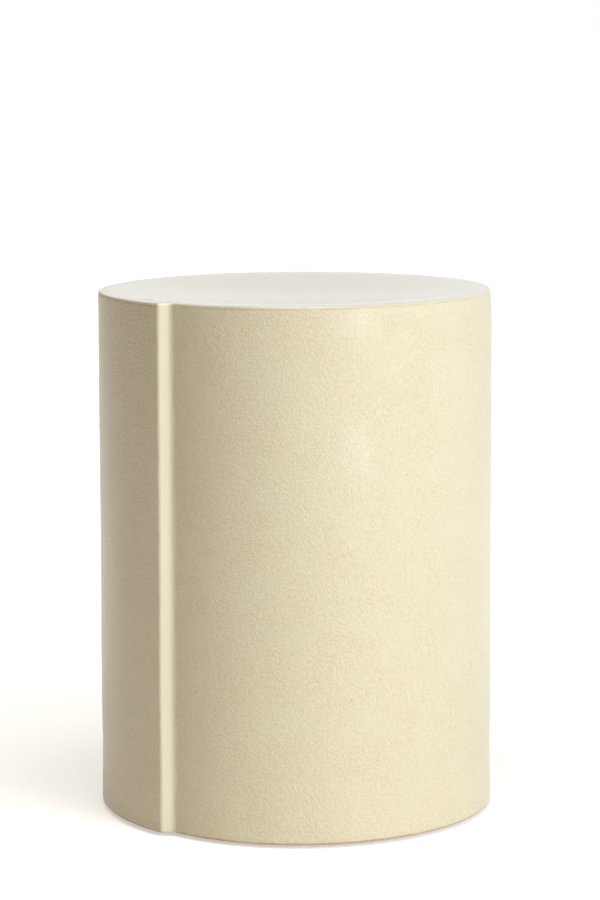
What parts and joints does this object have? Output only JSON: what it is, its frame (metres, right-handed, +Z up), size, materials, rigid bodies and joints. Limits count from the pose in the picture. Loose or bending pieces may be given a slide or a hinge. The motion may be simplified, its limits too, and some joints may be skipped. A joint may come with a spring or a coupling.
{
  "type": "garden stool",
  "caption": "Upright cylindrical stoneware stool with a shallow dished seat, a softly rounded rim and one vertical lapped seam.",
  "frame": {"origin": "centre of the round footprint, on the floor under the felt pads", "axes": "+Z up along the drum's axis, -Y towards the front, +X to the right; the seam is left of the front"},
  "size_m": [0.335, 0.335, 0.443],
  "materials": {
    "glazed_wall": "cream satin glaze with fine tan speckle",
    "glazed_seat": "cream satin glaze, a little paler on the seat",
    "bare_clay": "unglazed buff stoneware",
    "felt": "pressed wool felt"
  },
  "bodies": {
    "root": {"wall_slab": "glazed_wall", "seam_slip": "glazed_wall", "seam_coil": "bare_clay", "seat_slab": "glazed_seat", "seat_slip": "glazed_seat", "seat_coil": "bare_clay", "base_slab": "bare_clay", "base_slip": "bare_clay", "base_coil": "bare_clay", "felt_pad_1": "felt", "felt_pad_2": "felt", "felt_pad_3": "felt", "felt_pad_4": "felt"}
  },
  "joints": []
}
